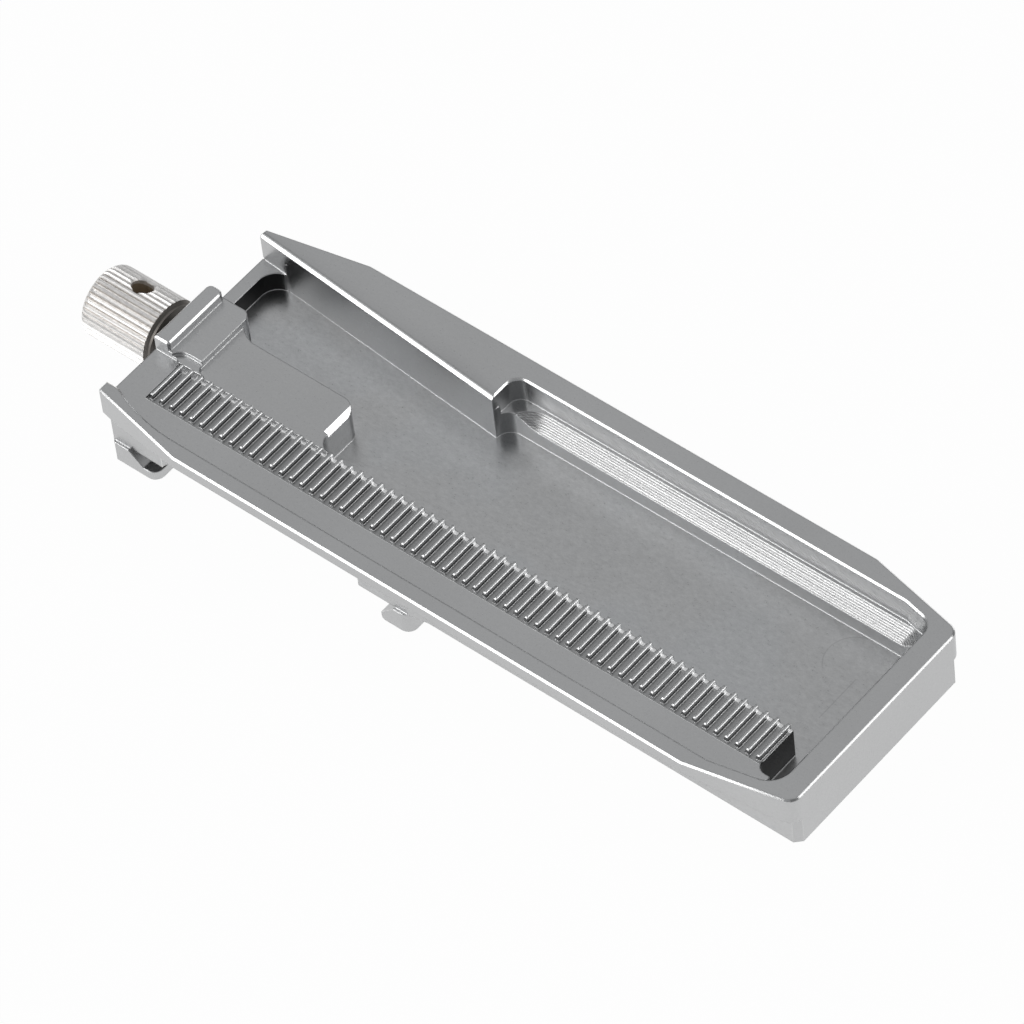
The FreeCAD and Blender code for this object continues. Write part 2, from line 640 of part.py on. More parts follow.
def rack(body):
    """Rack cut on the near floor: a sunk bed carrying the teeth, with facets on their ends."""
    bed_near = "-(size.tooth_near + size.rack_groove)"
    level_cut(body, "rack_bed", [
        (RACK_START, bed_near),
        (RACK_END, bed_near),
        (RACK_END, "-size.tooth_far"),
        (RACK_START, "-size.tooth_far"),
    ], "size.floor_level", "size.tooth_root_level")
    knob_side = from_knob_end("size.first_tooth - size.tooth_crest_width / 2")
    plain_side = from_knob_end("size.first_tooth + size.tooth_crest_width / 2")
    shoulder = "size.tooth_crest_level - size.tooth_crest_break"
    section = start_sketch(body, "tooth_section", "XZ_Plane", "size.tooth_near")
    draw_loop(section, [
        (f"{knob_side} - size.tooth_lead", "size.tooth_root_level"),
        (f"{plain_side} + size.tooth_trail", "size.tooth_root_level"),
        (plain_side, shoulder),
        (f"{plain_side} - size.tooth_crest_break", "size.tooth_crest_level"),
        (f"{knob_side} + size.tooth_crest_break", "size.tooth_crest_level"),
        (knob_side, shoulder),
    ])
    tooth = pad(body, "tooth", section, "size.tooth_near - size.tooth_far", reverse=True)
    teeth = body.newObject("PartDesign::LinearPattern", "teeth")
    teeth.Originals = [tooth]
    teeth.Direction = (section, ["H_Axis"])
    teeth.setExpression("Length", f"size.tooth_pitch * ({TOOTH_COUNT} - 1)")
    teeth.setExpression("Occurrences", TOOTH_COUNT)
    body.Tip = teeth
    facet = start_sketch(body, "facet_section", "YZ_Plane", RACK_START)
    draw_loop(facet, [
        ("-size.tooth_far - size.tooth_far_break", "size.tooth_crest_level"),
        ("-size.tooth_far", "size.tooth_crest_level - size.tooth_far_break"),
        ("-size.tooth_far", "size.tooth_crest_level"),
    ])
    draw_loop(facet, [
        ("-size.tooth_near", "size.tooth_crest_level"),
        ("-size.tooth_near", "size.tooth_crest_level - size.tooth_near_break"),
        ("-size.tooth_near + size.tooth_near_break", "size.tooth_crest_level"),
    ])
    pocket(body, "tooth_facets", facet, f"{RACK_END} - {RACK_START}", reverse=True)


def clamp_slot(body):
    """Slot for the jaw in the knob end bar, and the bore that the screw passes through."""
    half_slot = "size.jaw_half_width + size.slide_clearance"
    near = f"-size.screw_across - ({half_slot})"
    far = f"-size.screw_across + {half_slot}"
    slot_start = from_knob_end("size.jaw_start - size.end_clearance")
    screw_end = from_knob_end("size.pin_end + size.jaw_travel + size.end_clearance")
    upper = start_sketch(body, "slot_plan", "XY_Plane", "size.jaw_top + size.slide_clearance")
    draw_loop(upper, [(slot_start, near), (screw_end, near), (screw_end, far), (slot_start, far)])
    pocket(body, "slot", upper, "size.jaw_top + size.slide_clearance")
    lower = start_sketch(body, "mouth_plan", "XY_Plane")
    open_end = from_knob_end(f"size.hook_tip + {OVERRUN}")
    draw_loop(lower, [(slot_start, near), (open_end, near), (open_end, far), (slot_start, far)])
    pocket(body, "slot_mouth", lower, f"size.bar_drop + {OVERRUN}")
    bore = start_sketch(body, "bore_section", "YZ_Plane", "-size.half_length")
    draw_circle(bore, "-size.screw_across", "size.screw_level", "size.thread_radius + size.running_clearance")
    pocket(body, "bore", bore, "size.jaw_start", reverse=True)


def rim_breaks(doc, body, sheet):
    """Wide chamfer along the slanted wall and a narrow one round the rest of the rim."""
    slope = math.tan(math.radians(sheet.slant_angle))

    def on_slant(point):
        wall = sheet.half_width - sheet.slant_start - (point.x + sheet.half_length) * slope
        return abs(point.y - wall) < MATCH

    chamfer(doc, body, "slant_break", sheet.rim_height, on_slant, "size.slant_break")
    chamfer(doc, body, "rim_break", sheet.rim_height, lambda point: True, "size.edge_break")


def plate_body(doc, sheet):
    """The machined plate: slab, lower block, hooked bars, tray, recess, pocket, rack and clamp slot."""
    body = doc.addObject("PartDesign::Body", "plate_body")
    slab(body)
    lower_block(body)
    hooked_bars(body)
    corner_cuts(body)
    bar_corners(body)
    side_reliefs(body)
    tray(body)
    tip_relief(body)
    far_recess(body)
    for number in range(int(sheet.slope_passes)):
        slope_pass(body, number)
    deep_pocket(body)
    pad_bevel(body)
    end_strip(body)
    ridge_and_step(body)
    bridge(body)
    rack(body)
    clamp_slot(body)
    rim_breaks(doc, body, sheet)
    return body


def turned_profile(body):
    """Half section of the screw above its axis, with the knob end face of the plate at zero."""
    profile = start_sketch(body, "screw_profile", "XZ_Plane")
    ring_start = "size.hook_apex"
    ring_end = "size.hook_apex + size.ring_thickness"
    draw_loop(profile, [
        ("-size.knob_start", "0"),
        ("size.pin_end", "0"),
        ("size.pin_end", "size.pin_radius"),
        (ring_end, "size.pin_radius"),
        (ring_end, "size.groove_radius"),
        (ring_start, "size.groove_radius"),
        (ring_start, "size.pin_radius"),
        ("size.jaw_start", "size.pin_radius"),
        ("size.jaw_start", "size.thread_radius"),
        ("-size.collar_end", "size.thread_radius"),
        ("-size.collar_end", "size.collar_radius"),
        ("-size.knob_end + size.knurl_break", "size.collar_radius"),
        ("-size.knob_end", "size.knob_radius"),
        ("-size.knob_start", "size.knob_radius", "size.knob_dome_radius"),
    ])
    return profile


def knurling(body, profile):
    """Grooves round the knob, cut along the screw's axis."""
    groove = start_sketch(body, "knurl_section", "YZ_Plane", "-size.knob_end")
    draw_loop(groove, [
        ("-size.knurl_gap / 2", "size.knob_radius"),
        ("0", "size.knob_radius - size.knurl_depth"),
        ("size.knurl_gap / 2", "size.knob_radius"),
        ("size.knurl_gap / 2", f"size.knob_radius + {OVERRUN}"),
        ("-size.knurl_gap / 2", f"size.knob_radius + {OVERRUN}"),
    ])
    cut = pocket(body, "knurl_groove", groove, f"size.knob_start - size.knob_end + {OVERRUN}")
    knurl = body.newObject("PartDesign::PolarPattern", "knurling")
    knurl.Originals = [cut]
    knurl.Axis = (profile, ["H_Axis"])
    knurl.Angle = 360
    knurl.setExpression("Occurrences", "size.knurl_count")
    body.Tip = knurl


def bar_hole(body):
    """Cross hole through the knob, chamfered by a cone at either mouth."""
    hole = start_sketch(body, "bar_hole_plan", "XY_Plane")
    draw_circle(hole, "-size.bar_hole_station", "0", "size.bar_hole_radius")
    pocket(body, "bar_hole", hole, f"2 * (size.knob_radius + {OVERRUN})", both=True)
    cone = start_sketch(body, "bar_hole_cone", "XZ_Plane")
    cone.setExpression("AttachmentOffset.Base.x", "-size.bar_hole_station")
    apex = "(size.knob_radius - size.bar_hole_radius - size.bar_hole_break)"
    mouth = f"(size.bar_hole_radius + size.bar_hole_break + {OVERRUN})"
    above = f"(size.knob_radius + {OVERRUN})"
    draw_loop(cone, [("0", apex), (mouth, above), ("0", above)])
    draw_loop(cone, [("0", f"-{above}"), (mouth, f"-{above}"), ("0", f"-{apex}")])
    countersink = body.newObject("PartDesign::Groove", "bar_hole_breaks")
    countersink.Profile = cone
    countersink.ReferenceAxis = (cone, ["V_Axis"])
    countersink.Angle = 360


def thumb_screw(doc):
    """Knurled thumb screw in one piece: knob, collar, threaded shank, and a pin that carries the jaw."""
    body = doc.addObject("PartDesign::Body", "thumb_screw")
    profile = turned_profile(body)
    turned = body.newObject("PartDesign::Revolution", "turned")
    turned.Profile = profile
    turned.ReferenceAxis = (profile, ["H_Axis"])
    turned.Angle = 360
    knurling(body, profile)
    bar_hole(body)
    body.setExpression("Placement.Base.x", "-size.half_length")
    body.setExpression("Placement.Base.y", "-size.screw_across")
    body.setExpression("Placement.Base.z", "size.screw_level")
    body.setExpression("Placement.Rotation.Axis.x", "1")
    body.setExpression("Placement.Rotation.Axis.z", "0")
    body.setExpression("Placement.Rotation.Angle", "-size.bar_hole_turn")
    return body


def clamp_jaw(doc):
    """Sliding jaw: a hook like the knob end bar's, with an upright part that the screw's pin turns in."""
    body = doc.addObject("PartDesign::Body", "clamp_jaw")
    section = start_sketch(body, "jaw_section", "XZ_Plane")
    bottom = "-size.bar_drop + size.jaw_floor_gap"
    draw_loop(section, [
        ("size.jaw_start", bottom),
        ("size.hook_tip", bottom),
        ("size.hook_tip", "-size.lip_depth"),
        ("size.hook_lip_start", "-size.lip_depth"),
        ("size.hook_apex", "0"),
        ("size.hook_apex", "size.jaw_top"),
        ("size.jaw_start", "size.jaw_top"),
    ])
    pad(body, "jaw", section, "2 * size.jaw_half_width", both=True)
    bore = start_sketch(body, "jaw_bore", "YZ_Plane", "size.jaw_start")
    draw_circle(bore, "0", "size.screw_level", "size.pin_radius + size.running_clearance")
    pocket(body, "pin_bore", bore, "size.hook_apex - size.jaw_start", reverse=True)
    body.setExpression("Placement.Base.x", "-size.half_length")
    body.setExpression("Placement.Base.y", "-size.screw_across")
    return body


def retaining_ring(doc):
    """Open ring in the groove of the screw's pin, which keeps the jaw on the screw."""
    body = doc.addObject("PartDesign::Body", "retaining_ring")
    face = start_sketch(body, "ring_face", "YZ_Plane", "size.hook_apex")
    draw_circle(face, "0", "0", "size.ring_radius")
    draw_circle(face, "0", "0", "size.groove_radius")
    pad(body, "ring", face, "size.ring_thickness")
    gap = start_sketch(body, "ring_gap", "YZ_Plane", "size.hook_apex")
    draw_loop(gap, [
        ("-size.ring_gap / 2", "0"),
        ("size.ring_gap / 2", "0"),
        ("size.ring_gap / 2", f"size.ring_radius + {OVERRUN}"),
        ("-size.ring_gap / 2", f"size.ring_radius + {OVERRUN}"),
    ])
    pocket(body, "ring_opening", gap, "size.ring_thickness", reverse=True)
    body.setExpression("Placement.Base.x", "-size.half_length")
    body.setExpression("Placement.Base.y", "-size.screw_across")
    body.setExpression("Placement.Base.z", "size.screw_level")
    return body


def check(doc, bodies):
    """Stops the build where a feature failed or a piece isn't one sound solid."""
    for item in doc.Objects:
        if "Invalid" in item.State or "Error" in item.State:
            raise RuntimeError(f"{item.Name}: {item.getStatusString()}")
    for body in bodies:
        shape = body.Shape
        if shape.isNull() or not shape.isValid() or len(shape.Solids) != 1:
            raise RuntimeError(f"{body.Label} isn't one sound solid")
        box = shape.BoundBox
        print(body.Label, round(shape.Volume, 2), [round(v, 2) for v in (
            box.XMin, box.XMax, box.YMin, box.YMax, box.ZMin, box.ZMax)])


def main():
    doc = FreeCAD.newDocument("quick_release_plate")
    sheet = make_sheet(doc)
    bodies = [
        plate_body(doc, sheet),
        thumb_screw(doc),
        clamp_jaw(doc),
        retaining_ring(doc),
    ]
    doc.recompute()
    check(doc, bodies)
    os.makedirs("parts", exist_ok=True)
    for body in bodies:
        body.Shape.exportStep(f"parts/{body.Label}.step")


main()
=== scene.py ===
"""Quick release plate: the finishes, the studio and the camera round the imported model.

Sizes and places are in millimetres of the frame, except in the studio, which is in metres.
"""

import json
import logging
import math
from dataclasses import dataclass
from enum import Enum
from typing import Callable

import bpy
from mathutils import Matrix, Vector

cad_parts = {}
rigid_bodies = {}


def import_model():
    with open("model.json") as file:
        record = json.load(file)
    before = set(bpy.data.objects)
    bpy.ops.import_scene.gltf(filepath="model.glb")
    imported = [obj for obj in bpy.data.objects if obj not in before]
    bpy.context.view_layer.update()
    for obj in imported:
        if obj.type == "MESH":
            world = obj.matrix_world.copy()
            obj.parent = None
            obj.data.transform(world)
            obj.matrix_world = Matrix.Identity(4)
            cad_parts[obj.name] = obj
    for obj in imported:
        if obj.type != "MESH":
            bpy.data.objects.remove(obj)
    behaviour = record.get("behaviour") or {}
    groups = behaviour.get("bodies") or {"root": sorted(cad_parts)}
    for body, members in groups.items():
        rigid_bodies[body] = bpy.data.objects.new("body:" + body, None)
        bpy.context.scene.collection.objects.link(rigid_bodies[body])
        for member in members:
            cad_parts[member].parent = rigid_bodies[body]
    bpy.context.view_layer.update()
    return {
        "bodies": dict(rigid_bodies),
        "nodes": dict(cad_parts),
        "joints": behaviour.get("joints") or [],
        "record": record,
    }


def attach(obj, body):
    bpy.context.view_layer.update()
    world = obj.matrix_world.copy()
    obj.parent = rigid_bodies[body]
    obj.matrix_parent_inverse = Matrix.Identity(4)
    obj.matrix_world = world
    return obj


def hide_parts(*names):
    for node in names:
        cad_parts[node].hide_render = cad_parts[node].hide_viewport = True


LOG = logging.getLogger("quick_release_plate")

Colour = tuple[float, float, float]
Place = tuple[float, float, float]
Span = tuple[float, float]

MM = 0.001
WELD = 1e-6
HALF = 0.5
WHITE = (1.0, 1.0, 1.0, 1.0)

# The screw's axis
SCREW_Y = -0.35
SCREW_Z = 1.66

# Sockets of the Mix node that carry colours
MIX_AMOUNT, MIX_FIRST, MIX_SECOND, MIX_RESULT = 0, 6, 7, 2


class Axis(Enum):
    """Components of a vector."""

    X = 0
    Y = 1
    Z = 2


class Node(Enum):
    """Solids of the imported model."""

    PLATE = "plate_body"
    JAW = "clamp_jaw"
    SCREW = "thumb_screw"
    RING = "retaining_ring"


class Body(Enum):
    """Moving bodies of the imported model."""

    PLATE = "plate"
    JAW = "jaw"
    SCREW = "screw"


class Slot(Enum):
    """Material slots of the record."""

    ALUMINIUM = "plate_metal"
    STEEL = "screw_metal"
    RING = "ring_metal"


class Wire:
    """A shader socket that takes part in Python arithmetic and adds the matching Math nodes."""

    def __init__(self, bench: "Bench", socket: bpy.types.NodeSocket) -> None:
        """Keeps the socket and the bench that its nodes stand on.

        Args:
            bench: The bench of the material.
            socket: The output socket.
        """
        self.bench = bench
        self.socket = socket

    def _math(self, operation: str, *values: "Wire | float") -> "Wire":
        """Adds one Math node.

        Args:
            operation: The Math node's operation.
            values: Its inputs in order.

        Returns:
            The node's result.
        """
        inputs = dict(enumerate(values))
        return self.bench.node("ShaderNodeMath", {"operation": operation}, inputs)

    def __add__(self, other: "Wire | float") -> "Wire":
        """Sum."""
        return self._math("ADD", self, other)

    def __radd__(self, other: float) -> "Wire":
        """Sum with a number on the left."""
        return self._math("ADD", other, self)

    def __sub__(self, other: "Wire | float") -> "Wire":
        """Difference."""
        return self._math("SUBTRACT", self, other)

    def __rsub__(self, other: float) -> "Wire":
        """Difference with a number on the left."""
        return self._math("SUBTRACT", other, self)

    def __mul__(self, other: "Wire | float") -> "Wire":
        """Product."""
        return self._math("MULTIPLY", self, other)

    def __rmul__(self, other: float) -> "Wire":
        """Product with a number on the left."""
        return self._math("MULTIPLY", other, self)

    def __truediv__(self, other: "Wire | float") -> "Wire":
        """Quotient."""
        return self._math("DIVIDE", self, other)

    def __gt__(self, other: "Wire | float") -> "Wire":
        """One where this is the larger, else zero."""
        return self._math("GREATER_THAN", self, other)

    def __lt__(self, other: "Wire | float") -> "Wire":
        """One where this is the smaller, else zero."""
        return self._math("LESS_THAN", self, other)

    def __abs__(self) -> "Wire":
        """Size without sign."""
        return self._math("ABSOLUTE", self)

    def root(self) -> "Wire":
        """Square root."""
        return self._math("SQRT", self)

    def fraction(self) -> "Wire":
        """Part after the decimal point."""
        return self._math("FRACT", self)

    def within(self, low: float, high: float) -> "Wire":
        """One between two limits, else zero."""
        return (self > low) * (self < high)

    def ramp(self, low: float, high: float) -> "Wire":
        """Rises smoothly from zero at the low limit to one at the high limit."""
        settings = {"interpolation_type": "SMOOTHSTEP"}
        return self.bench.node("ShaderNodeMapRange", settings, {0: self, 1: low, 2: high})

    def swing(self, amount: "Wire | float") -> "Wire":
        """A noise turned into a change to both sides of nothing, of so much in all."""
        return (self - HALF) * amount


@dataclass(frozen=True)
class Grain:
    """A fractal noise: features for each metre, octaves, share of the finer octaves and stretch."""

    scale: float
    detail: float
    rough: float
    stretch: Place | None = None


class Bench:
    """The node tree of one material or world, cleared and ready to wire."""

    def __init__(self, owner: bpy.types.Material | bpy.types.World) -> None:
        """Opens the owner's node tree.

        Args:
            owner: The material or world.
        """
        self.owner = owner
        owner.use_nodes = True
        self.tree = owner.node_tree
        self.tree.nodes.clear()

    def add(self, kind: str, settings: dict, inputs: dict) -> bpy.types.Node:
        """Adds one node: its settings first, then its sockets.

        Args:
            kind: The node's type.
            settings: Attributes of the node.
            inputs: Values or wires for its input sockets, by number or name.

        Returns:
            The node.
        """
        made = self.tree.nodes.new(kind)
        for key, value in settings.items():
            setattr(made, key, value)
        for key, value in inputs.items():
            if isinstance(value, Wire):
                self.tree.links.new(value.socket, made.inputs[key])
            else:
                made.inputs[key].default_value = value
        return made

    def node(self, kind: str, settings: dict, inputs: dict, output: int | str = 0) -> Wire:
        """Adds one node and picks one of its outputs.

        Args:
            kind: The node's type.
            settings: Attributes of the node.
            inputs: Values or wires for its input sockets, by number or name.
            output: The output socket to return.

        Returns:
            The chosen output.
        """
        return Wire(self, self.add(kind, settings, inputs).outputs[output])

    def end(self, shader: Wire, kind: str = "ShaderNodeOutputMaterial") -> bpy.types.ID:
        """Ends the tree in a shader.

        Args:
            shader: The last shader.
            kind: The output node's type.

        Returns:
            The finished material or world.
        """
        self.add(kind, {}, {"Surface": shader})
        return self.owner

    def place(self) -> Wire:
        """The point's place on the object, in the frame's metres."""
        return self.node("ShaderNodeTexCoord", {}, {}, "Object")

    def split(self, vector: Wire, axis: Axis) -> Wire:
        """One component of a vector."""
        return self.node("ShaderNodeSeparateXYZ", {}, {0: vector}, axis.value)

    def dot(self, first: Wire, second: Wire) -> Wire:
        """Dot product of two vectors."""
        settings = {"operation": "DOT_PRODUCT"}
        return self.node("ShaderNodeVectorMath", settings, {0: first, 1: second}, "Value")

    def noise(self, grain: Grain, place: Wire) -> Wire:
        """Fractal noise from zero to one.

        Args:
            grain: The noise's settings.
            place: Where it is read.

        Returns:
            The noise value.
        """
        vector = place
        if grain.stretch is not None:
            vector = self.node("ShaderNodeMapping", {}, {"Vector": place, "Scale": grain.stretch})
        return self.node("ShaderNodeTexNoise", {}, {
            "Vector": vector, "Scale": grain.scale, "Detail": grain.detail, "Roughness": grain.rough,
        })

    def blend(self, amount: Wire, first: Wire | Colour, second: Wire | Colour) -> Wire:
        """Mixes two colours.

        Args:
            amount: Zero for the first colour and one for the second.
            first: A colour.
            second: Another colour.

        Returns:
            The mixed colour.
        """
        below, above = (c if isinstance(c, Wire) else (*c, 1.0) for c in (first, second))
        inputs = {MIX_AMOUNT: amount, MIX_FIRST: below, MIX_SECOND: above}
        return self.node("ShaderNodeMix", {"data_type": "RGBA"}, inputs, MIX_RESULT)

    def lighten(self, colour: Wire, amount: Wire) -> Wire:
        """Adds the same amount to each part of a colour.

        Args:
            colour: The colour.
            amount: What is added, below zero to darken.

        Returns:
            The changed colour.
        """
        lift = self.node("ShaderNodeCombineColor", {}, {0: amount, 1: amount, 2: amount})
        settings = {"data_type": "RGBA", "blend_type": "ADD"}
        inputs = {MIX_AMOUNT: 1.0, MIX_FIRST: colour, MIX_SECOND: lift}
        return self.node("ShaderNodeMix", settings, inputs, MIX_RESULT)

    def bump(self, height: Wire, strength: float, distance: float) -> Wire:
        """Normal disturbed by a height.

        Args:
            height: The height, from zero to one.
            strength: Share of the full effect.
            distance: Metres between heights zero and one.

        Returns:
            The disturbed normal.
        """
        inputs = {"Height": height, "Strength": strength, "Distance": distance}
        return self.node("ShaderNodeBump", {}, inputs)

    def rounded(self, radius: float, normal: Wire) -> Wire:
        """Normal that turns smoothly over every edge and down in every foot.

        Args:
            radius: Metres from the edge.
            normal: The normal away from the edges.

        Returns:
            The rounded normal.
        """
        return self.node("ShaderNodeBevel", {"samples": 6}, {"Radius": radius, "Normal": normal})

    def surface(self, inputs: dict) -> bpy.types.Material:
        """Ends the tree in one Principled shader.

        Args:
            inputs: Values or wires for the shader's sockets.

        Returns:
            The finished material.
        """
        return self.end(self.node("ShaderNodeBsdfPrincipled", {}, inputs))


class Spot:
    """The shaded point: its place on the object, and how its surface faces."""

    def __init__(self, bench: Bench) -> None:
        """Reads the point.

        Args:
            bench: The material's bench.
        """
        self.place = bench.place()
        self.x, self.y, self.z = (bench.split(self.place, axis) for axis in Axis)
        self.facing = bench.node("ShaderNodeNewGeometry", {}, {}, "True Normal")
        self.ahead = bench.split(self.facing, Axis.X)
        self.tilt = bench.split(self.facing, Axis.Z)


def grey(value: float, warmth: float = 0.0) -> Colour:
    """A grey in linear light.

    Args:
        value: Brightness.
        warmth: Shift towards red and away from blue.

    Returns:
        The colour.
    """
    return (value * (1 + warmth), value, value * (1 - warmth))


@dataclass(frozen=True)
class Region:
    """Upright block of space between two corners."""

    low: Place
    high: Place

    def mask(self, spot: Spot) -> Wire:
        """One inside the block, else zero.

        Args:
            spot: The shaded point.

        Returns:
            The mask.
        """
        sides = zip((spot.x, spot.y, spot.z), self.low, self.high)
        along, across, up = (wire.within(low * MM, high * MM) for wire, low, high in sides)
        return along * across * up


@dataclass(frozen=True)
class CutterMarks:
    """Faint cutter marks near the plain end of the pocket floor: an arc and a line."""

    width: float = 0.07
    arc_centre: Span = (40.2, 8.65)
    arc_radius: float = 3.58
    arc_end: float = 39.4
    arc_near: float = 6.0
    line_station: float = 41.8
    line_span: Span = (0.2, 6.9)

    def mask(self, spot: Spot) -> Wire:
        """One on a mark, else zero.

        Args:
            spot: The shaded point.

        Returns:
            The mask.
        """
        width = self.width * MM
        east = spot.x - self.arc_centre[0] * MM
        north = spot.y - self.arc_centre[1] * MM
        off_arc = abs((east * east + north * north).root() - self.arc_radius * MM)
        arc = (off_arc < width) * (spot.x < self.arc_end * MM) * (spot.y > self.arc_near * MM)
        near, far = self.line_span
        line = (abs(spot.x - self.line_station * MM) < width) * spot.y.within(near * MM, far * MM)
        return arc + line


@dataclass(frozen=True)
class RackPaint:
    """Where painted shade and painted highlights make the rack darker or brighter than the rest of the
    plate.
    """

    rack: Region = Region((-46.73, -11.31, 5.3), (42.88, -5.33, 6.2))
    # Strip of painted highlight along the near lip of the rack bed
    near_lip_highlight: Region = Region((-46.73, -11.42, 5.65), (42.88, -11.31, 5.75))
    # Heights, facings and places that bound the painted shade and painted light on the rack
    root_top: float = 5.4
    flank_middle: float = 5.72
    flank_facing: float = 0.7
    # Where painted light lies on the gaps' open ends, across and along the pitch
    open_from: float = -5.85
    open_phase: Span = (0.12, 0.5)
    first_tooth: float = -46.175
    tooth_pitch: float = 1.5

    def masks(self, spot: Spot) -> tuple[Wire, Wire, Wire, Wire]:
        """Masks of the rack, each one on its surface and else zero.

        Args:
            spot: The shaded point.

        Returns:
            Painted shade low in the gaps, painted shadow at the foot of each flank, painted light on
            the gaps' open ends and a painted highlight on the near lip.
        """
        rack = self.rack.mask(spot)
        # Painted shade low in the gaps
        root_shade = rack * (spot.z < self.root_top * MM)
        # Painted shadow at the foot of each flank
        flank_shadow = rack * (spot.ahead > self.flank_facing) * (spot.z < self.flank_middle * MM)
        phase = ((spot.x - self.first_tooth * MM) / (self.tooth_pitch * MM)).fraction()
        # Painted light on the gaps' open ends
        open_end_highlight = rack * (spot.y > self.open_from * MM) * phase.within(*self.open_phase)
        return root_shade, flank_shadow, open_end_highlight, self.near_lip_highlight.mask(spot)


@dataclass(frozen=True)
class BlastedAluminium:
    """Fine satin grey anodising, with bright cut edges that are partly bare metal and partly painted
    highlight, painted highlights along feet, lip and open ends, a milled slope, and painted shade in
    the rack and on the pocket's end walls.
    """

    body_colour: Colour = grey(0.535, -0.006)
    cool_colour: Colour = grey(0.535, -0.015)
    # Bright colour: bare cut metal on the chamfers, partly painted highlight there, and painted
    # highlight on the feet, the near lip and the gaps' open ends
    cut_metal_and_highlight_colour: Colour = grey(0.95)
    # Painted shade: a dimmer copy of the chamfers' bright colour at the plain end
    plain_rim_shade_colour: Colour = grey(0.57)
    cut_colours: tuple[Colour, Colour] = (grey(0.5225), grey(0.8075))
    mark_colour: Colour = grey(0.214)
    # Painted shade low in the rack's gaps
    root_shade_colour: Colour = grey(0.10)
    # Painted shadow at the foot of each flank
    flank_shadow_colour: Colour = grey(0.08)
    # Painted shade on the pocket's end walls
    end_wall_shade_colour: Colour = grey(0.05)
    # How strongly a layer covers what is below it
    mark_cover: float = 0.24
    root_shade_cover: float = 0.35
    foot_highlight_cover: float = 0.75
    # Noises, and the change in brightness and roughness that each makes in all
    grain: Grain = Grain(6400.0, 2.0, 0.6)
    mottle: Grain = Grain(2600.0, 4.0, 0.65, (0.6, 1.0, 1.0))
    cloud: Grain = Grain(55.0, 2.0, 0.5)
    streak: Grain = Grain(5200.0, 3.0, 0.6, (0.004, 1.0, 1.0))
    grain_swing: float = 0.12
    mottle_swing: float = 0.08
    pocket_swing: float = 0.20
    cloud_swing: float = 0.08
    grain_rough: float = 0.08
    mottle_rough: float = 0.10
    streak_rough: float = 0.1
    cool_clouds: Span = (0.45, 0.6)
    cut_streaks: Span = (0.35, 0.65)
    roughness: float = 0.30
    edge_roughness: float = 0.24
    # Relief, the rounding of edges and feet, and where painted highlight lies along them
    streak_relief: float = 0.6
    relief_strength: float = 0.3
    relief_depth: float = 0.005
    edge_radius: float = 0.24
    foot_highlight_turn: Span = (0.02, 0.2)
    foot_highlight_far_limit: float = 0.15
    # Regions, and how their surfaces face
    slope: Region = Region((-12.1, 12.37, 3.0), (45.8, 14.21, 4.44))
    slope_tilt: float = -0.1
    pocket: Region = Region((-49.0, -16.0, 0.5), (47.5, 13.0, 1.0))
    # End walls that get painted shade
    knob_end_wall: Region = Region((-49.6, 4.0, 1.0), (-44.0, 14.6, 3.7))
    knob_end_turn: Span = (0.0, 0.4)
    rack_end_wall: Region = Region((42.8, -13.0, 1.0), (43.0, -5.3, 5.6))
    end_facing: float = 0.5
    break_floor: float = 5.0
    break_tilt: Span = (0.5, 0.86)
    plain_rim_start: float = 49.8
    marks: CutterMarks = CutterMarks()
    rack: RackPaint = RackPaint()

    def foot(self, bench: Bench, spot: Spot) -> Wire:
        """Mask of painted highlight along edges and feet, except those that turn to the far side.

        Args:
            bench: The material's bench.
            spot: The shaded point.

        Returns:
            The mask.
        """
        turned = bench.rounded(self.edge_radius * MM, spot.facing)
        change = (1 - bench.dot(turned, spot.facing)).ramp(*self.foot_highlight_turn)
        return change * (bench.split(turned, Axis.Y) < self.foot_highlight_far_limit)

    def end_wall_shade(self, spot: Spot) -> Wire:
        """Mask of painted shade on the pocket's end walls at the knob and past the rack.

        Args:
            spot: The shaded point.

        Returns:
            The mask.
        """
        knob_end = self.knob_end_wall.mask(spot) * spot.ahead.ramp(*self.knob_end_turn)
        return knob_end + self.rack_end_wall.mask(spot) * (spot.ahead > self.end_facing)

    def make(self) -> bpy.types.Material:
        """Builds the material.

        Returns:
            The finished material.
        """
        bench = Bench(bpy.data.materials.new("blasted_aluminium"))
        spot = Spot(bench)
        noises = (self.grain, self.mottle, self.cloud, self.streak)
        grain, mottle, cloud, streak = (bench.noise(each, spot.place) for each in noises)
        # Chamfers up on the rims, bright partly as bare cut metal and partly as painted highlight
        breaks = spot.tilt.within(*self.break_tilt) * (spot.z > self.break_floor * MM)
        milled = self.slope.mask(spot) * (spot.tilt > self.slope_tilt)
        deep = self.pocket.mask(spot)
        plain_end = (spot.ahead > self.end_facing) * (spot.x > self.plain_rim_start * MM)
        root_shade, flank_shadow, open_end_highlight, near_lip_highlight = self.rack.masks(spot)

